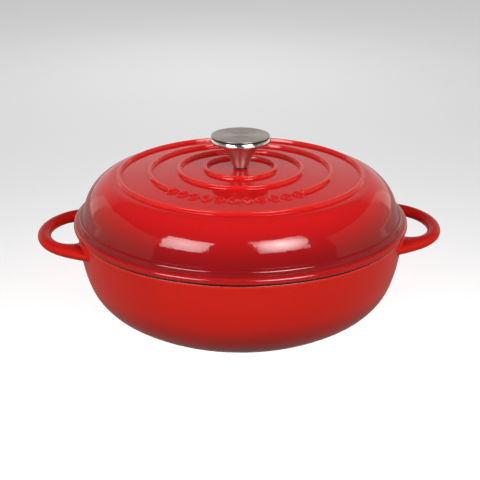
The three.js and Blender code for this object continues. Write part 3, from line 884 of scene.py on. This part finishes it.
def cream_enamel():
    """Inside the pot and the lid, with the fine brown specks that such enamel has."""
    n = Nodes("cream_enamel")
    tone = n.mix(n.remap(n.noise(18, 3), 0, 1, 0.3, 0.7), (0.72, 0.62, 0.45), (0.80, 0.71, 0.55))
    speck = n.remap(n.noise(750, 1), 0, 0.5, 0.68, 0.76)
    n.surface(
        colour=n.mix(speck, tone, (0.45, 0.36, 0.24)),
        roughness=n.remap(n.noise(70, 3), 0.10, 0.20),
        normal=n.bump(n.noise(120, 2), 0.10, 0.0006))
    return n.material


def foot_enamel():
    """Dark, mottled enamel under the base."""
    n = Nodes("foot_enamel")
    mottle = n.remap(n.noise(220, 4), 0, 1, 0.35, 0.7)
    n.surface(
        colour=n.mix(mottle, (0.030, 0.022, 0.022), (0.075, 0.055, 0.052)),
        roughness=n.remap(n.noise(160, 3), 0.30, 0.55),
        normal=n.bump(n.noise(420, 3), 0.3, 0.0003))
    return n.material


def polished_steel():
    n = Nodes("polished_steel")
    n.set(metallic=1.0)
    n.surface(
        colour=n.mix(n.noise(40, 2), (0.60, 0.585, 0.57), (0.68, 0.665, 0.65)),
        roughness=n.remap(n.noise(900, 2, stretch=(1, 1, 0.1)), 0.08, 0.14),
        normal=n.bump(n.noise(1600, 2, stretch=(1, 1, 0.15)), 0.04, 0.00005))
    return n.material


def turned_steel():
    """Lathe-turned: fine grooves run round the stem, so reflections stretch along it."""
    n = Nodes("turned_steel")
    n.set(metallic=1.0, anisotropic=0.85, anisotropic_rotation=0.25)
    n.follow_turning()
    grooves = n.noise(60, 3, stretch=(1, 1, 60))
    n.surface(
        colour=n.mix(grooves, (0.58, 0.48, 0.44), (0.70, 0.61, 0.57)),
        roughness=n.remap(grooves, 0.28, 0.38),
        normal=n.bump(grooves, 0.10, 0.00005))
    return n.material


def brushed_steel():
    """Fine brushing that runs round the disc."""
    n = Nodes("brushed_steel")
    n.set(metallic=1.0, anisotropic=0.7, anisotropic_rotation=0.25)
    n.follow_turning()
    flat = n.add("ShaderNodeVectorMath", operation="MULTIPLY")
    flat.inputs[1].default_value = (1, 1, 0)
    n.link(n.place, flat.inputs[0])
    radius = n.add("ShaderNodeVectorMath", operation="LENGTH")
    n.link(flat.outputs["Vector"], radius.inputs[0])
    noise = n.add("ShaderNodeTexNoise", noise_dimensions="1D")
    noise.inputs["Scale"].default_value = 2500
    n.link(radius.outputs["Value"], noise.inputs["W"])
    lines = noise.outputs["Fac"]
    cloud = n.mix(n.noise(45, 2), (0.61, 0.540, 0.500), (0.77, 0.700, 0.660))
    n.surface(
        colour=n.mix(n.remap(lines, 0, 0.35), cloud, (0.50, 0.435, 0.405)),
        roughness=n.remap(lines, 0.24, 0.38),
        normal=n.bump(lines, 0.10, 0.00005))
    return n.material


def zinc_steel():
    n = Nodes("zinc_steel")
    n.set(metallic=1.0)
    n.surface(
        colour=n.mix(n.noise(350, 3), (0.50, 0.50, 0.51), (0.66, 0.66, 0.67)),
        roughness=n.remap(n.noise(500, 2), 0.28, 0.45),
        normal=n.bump(n.noise(1200, 2), 0.1, 0.0001))
    return n.material


def silicone():
    n = Nodes("silicone")
    n.surface(
        colour=n.mix(n.noise(600, 2), (0.012, 0.012, 0.013), (0.022, 0.022, 0.023)),
        roughness=n.remap(n.noise(300, 2), 0.55, 0.75),
        normal=n.bump(n.noise(900, 2), 0.15, 0.0001))
    return n.material


def floor_material():
    n = Nodes("floor_white")
    n.link(n.mix(n.noise(3, 2), (0.80, 0.80, 0.80), (0.82, 0.82, 0.82)), n.shader.inputs["Base Color"])
    n.set(roughness=0.9)
    return n.material


def wall_material():
    """Pale and evenly bright, whatever lights it."""
    n = Nodes("wall_pale")
    n.set(base_color=(0, 0, 0, 1), roughness=1.0, emission_strength=1.0)
    n.link(n.mix(n.noise(0.2, 2), (0.56, 0.56, 0.56), (0.60, 0.60, 0.60)), n.shader.inputs["Emission Color"])
    return n.material


# ---------------------------------------------------------------- stage

STAGE_RADIUS = 9000
STAGE_SEGMENTS = 96
FLOOR_HEIGHT = -0.1
# What the lights face: the middle of the pot with its lid on, and the knob's head
POT_MIDDLE = (0, 0, 0.09)
KNOB_HEAD = (0, 0, 0.15)
WARM_WHITE = (1, 0.92, 0.84)
STUDIO_GREY = 0.10
# A panel's own coordinates run from 0 to 1 each way
PANEL_MIDDLE = (0.5, 0.5, 0)
PANEL_FADE_REACH = 0.55


def hide_from(rays, *objects):
    """Keeps objects out of one kind of ray. A panel hidden from glossy rays lights but isn't reflected."""
    for obj in objects:
        setattr(obj, "visible_" + rays, False)


def stage_surface(name, radius, height, material):
    """A surface of revolution round the object that only the camera sees."""
    angles = np.linspace(0, 2 * math.pi, STAGE_SEGMENTS, endpoint=False)
    vertices, index = lathe_grid(radius, height, angles)
    faces, _ = grid_faces(index)
    surface = make_object(name, vertices, faces, [material])
    for rays in ("diffuse", "glossy", "shadow"):
        hide_from(rays, surface)
    return surface


def build_wall():
    """A pale dome far behind everything."""
    rise = np.linspace(0, math.pi / 2, 24)
    wall = stage_surface(
        "wall", STAGE_RADIUS * np.cos(rise).round(6), STAGE_RADIUS * np.sin(rise), wall_material())


def build_floor():
    floor = stage_surface(
        "floor", np.array([STAGE_RADIUS, 0.0]), np.array([FLOOR_HEIGHT, FLOOR_HEIGHT]), floor_material())
    return floor


def link_light(obj, state, objects, shadowless=False):
    """Links a light to only the given objects (INCLUDE) or to all but them (EXCLUDE)."""
    receivers = bpy.data.collections.new(obj.name + "_receivers")
    for receiver in objects:
        receivers.objects.link(receiver)
    for entry in receivers.collection_objects:
        entry.light_linking.link_state = state
    obj.light_linking.receiver_collection = receivers
    if shadowless:
        blockers = bpy.data.collections.new(obj.name + "_blockers")
        for receiver in objects:
            blockers.objects.link(receiver)
        obj.light_linking.blocker_collection = blockers


def place_light(name, light, place, target):
    obj = bpy.data.objects.new(name, light)
    obj.location = place
    obj.rotation_euler = (Vector(target) - Vector(place)).to_track_quat("-Z", "Y").to_euler()
    obj.visible_camera = False
    bpy.context.scene.collection.objects.link(obj)
    return obj


def grade_panel(light, span, outward):
    """Makes a panel's strength run over the span, from its bottom up or from its middle outward."""
    light.use_nodes = True
    nodes, links = light.node_tree.nodes, light.node_tree.links
    where = nodes.new("ShaderNodeNewGeometry").outputs["Parametric"]
    strength = nodes.new("ShaderNodeMapRange")
    strength.inputs["To Min"].default_value, strength.inputs["To Max"].default_value = span
    if outward:
        from_middle = nodes.new("ShaderNodeVectorMath")
        from_middle.operation = "DISTANCE"
        from_middle.inputs[1].default_value = PANEL_MIDDLE
        links.new(where, from_middle.inputs[0])
        links.new(from_middle.outputs["Value"], strength.inputs["Value"])
        strength.inputs["From Max"].default_value = PANEL_FADE_REACH
    else:
        split = nodes.new("ShaderNodeSeparateXYZ")
        links.new(where, split.inputs[0])
        links.new(split.outputs["Y"], strength.inputs["Value"])
    links.new(strength.outputs["Result"], nodes["Emission"].inputs["Strength"])


def panel(name, place, target=POT_MIDDLE, *, radiance, size, upward=None, outward=None):
    """A rectangular panel light facing its target, either even or graded over a span of strengths."""
    light = bpy.data.lights.new(name, "AREA")
    light.shape = "RECTANGLE"
    light.size, light.size_y = size
    light.energy = radiance * math.pi * size[0] * size[1]
    if upward or outward:
        grade_panel(light, upward or outward, bool(outward))
    return place_light(name, light, place, target)


def tint(colour, *lights):
    for light in lights:
        light.data.color = colour


def build_pot_lights(floor):
    """Windows in front, fills at the sides and back, and what the enamel reflects. None reaches the floor."""
    overhead = panel("overhead", (0, 0.1, 1.9), radiance=0.85, size=(1.7, 1.7))
    key_left = panel("key_left", (-0.795, -0.815, 0.80), radiance=6.9, size=(0.75, 0.58))
    key_right = panel("key_right", (0.52, -0.96, 0.90), radiance=8.2, size=(0.80, 0.70))
    fill_left = panel("fill_left", (-1.1, -0.5, 0.25), radiance=1.6, size=(1.0, 0.5))
    fill_right = panel("fill_right", (1.1, -0.5, 0.25), radiance=1.2, size=(1.0, 0.5))
    fill_back = panel("fill_back", (0, 1.3, 0.45), radiance=2.0, size=(1.8, 0.6))
    gloss_left = panel(
        "gloss_left", (-0.775, -0.81, 0.785), radiance=8.5, size=(0.71, 0.58), outward=(1.3, 0.7))
    gloss_right = panel(
        "gloss_right", (0.50, -0.95, 0.885), radiance=10, size=(0.79, 0.70), outward=(1.9, 0.35))
    side_left = panel("side_left", (-1.0, 0.375, 0.36), (0, 0.375, 0.36), radiance=0.32, size=(1.85, 0.72))
    side_right = panel("side_right", (1.0, 0.375, 0.36), (0, 0.375, 0.36), radiance=0.32, size=(1.85, 0.72))
    floor_bounce = panel("floor_bounce", (0, 0, -0.004), (0, 0, 1), radiance=0.13, size=(1.5, 1.5))
    floor_gloss = panel("floor_gloss", (0, 0, -0.003), (0, 0, 1), radiance=0.25, size=(3, 3))
    backdrop = panel(
        "backdrop", (0, 1.7, 0.75), (0, 0, 0.75), radiance=1.0, size=(4.0, 1.5), upward=(0.72, 0.06))
    unreflected = [overhead, key_left, key_right, fill_left, fill_right, fill_back, floor_bounce]
    only_reflected = [gloss_left, gloss_right, floor_gloss]
    hide_from("glossy", *unreflected)
    hide_from("diffuse", *only_reflected)
    tint((1, 0.9, 0.68), side_left, side_right)
    tint((1, 0.95, 0.86), floor_gloss)
    tint((1, 0.96, 0.92), backdrop)
    for light in (*unreflected, *only_reflected, side_left, side_right, backdrop):
        link_light(light, "EXCLUDE", [floor])


def build_knob_lights(knob_pieces):
    """Cards that only the knob reflects: two in front, and two fainter ones behind."""
    card_left = panel("card_left", (-0.36, -0.48, 0.13), KNOB_HEAD, radiance=1.6, size=(0.43, 0.27))
    card_right = panel("card_right", (0.30, -0.52, 0.13), KNOB_HEAD, radiance=1.6, size=(0.43, 0.27))
    far_left = panel("far_left", (-0.55, 0.25, 0.16), KNOB_HEAD, radiance=0.6, size=(0.5, 0.3))
    far_right = panel("far_right", (0.55, 0.25, 0.16), KNOB_HEAD, radiance=0.5, size=(0.5, 0.3))
    tint(WARM_WHITE, far_left, far_right)
    for light in (card_left, card_right, far_left, far_right):
        hide_from("diffuse", light)
        link_light(light, "INCLUDE", knob_pieces)


def build_floor_lights(floor):
    """A wash that turns the floor white near the object and lets it fall off behind, without shadows."""
    sun = bpy.data.lights.new("wash_sun", "SUN")
    sun.energy = 1.9
    floor_lights = [
        place_light("wash_sun", sun, (0, 0, 3), (0, 0, 0)),
        panel("wash_front", (0, -0.4, 0.6), (0, -0.4, 0), radiance=15.4, size=(0.3, 0.3)),
        panel("wash_back", (0, 1.0, 0.7), (0, 1.0, 0), radiance=4.5, size=(0.3, 0.3)),
    ]
    for light in floor_lights:
        link_light(light, "INCLUDE", [floor], shadowless=True)


def build_world():
    world = bpy.data.worlds.new("studio")
    world.use_nodes = True
    colour = world.node_tree.nodes["Background"].inputs["Color"]
    colour.default_value = (STUDIO_GREY, STUDIO_GREY, STUDIO_GREY, 1)
    bpy.context.scene.world = world


def build_camera():
    camera = bpy.data.cameras.new("camera")
    camera.lens = CAMERA_LENS
    camera.sensor_width = CAMERA_SENSOR
    obj = bpy.data.objects.new("camera", camera)
    obj.location = (
        -CAMERA_DISTANCE * math.sin(CAMERA_YAW), -CAMERA_DISTANCE * math.cos(CAMERA_YAW), CAMERA_HEIGHT)
    ahead = Vector((
        math.sin(CAMERA_AIM) * math.cos(CAMERA_PITCH), math.cos(CAMERA_AIM) * math.cos(CAMERA_PITCH),
        -math.sin(CAMERA_PITCH)))
    obj.rotation_euler = ahead.to_track_quat("-Z", "Y").to_euler()
    bpy.context.scene.collection.objects.link(obj)
    bpy.context.scene.camera = obj


# ---------------------------------------------------------------- assembly

def stand_for(piece, body, node):
    """Shows a piece in place of a CAD node."""
    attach(piece, body)
    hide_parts(node)


def finish_cad_node(node, material):
    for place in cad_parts[node].material_slots:
        place.material = material


bpy.context.scene.view_settings.view_transform = "Standard"
build_camera()
hidden_enamels = [matt_black_enamel(), cream_enamel(), foot_enamel()]
pot_casting = build_pot([satin_red_enamel(), *hidden_enamels, handle_red_enamel()])
lid_casting = build_lid([gloss_red_enamel(), *hidden_enamels])
stand_for(pot_casting, "pot_body", "pot")
stand_for(lid_casting, "lid_body", "lid")
knob_body = build_knob_shell(polished_steel(), turned_steel())
knob_disc = build_knob_cap(brushed_steel())
stand_for(knob_body, "lid_body", "knob_shell")
stand_for(knob_disc, "lid_body", "knob_cap")
build_wall()
stage_floor = build_floor()
build_pot_lights(stage_floor)
build_knob_lights([knob_body, knob_disc])
build_floor_lights(stage_floor)
build_world()
zinc = zinc_steel()
for cad_node in ("knob_nut", "knob_screw", "screw_washer", "spring_washer"):
    finish_cad_node(cad_node, zinc)
rubber = silicone()
# The seal under the cap's edge is a guessed part; its black also stands in for the shade in that groove.
for cad_node in ("knob_gasket", "cap_seal"):
    finish_cad_node(cad_node, rubber)
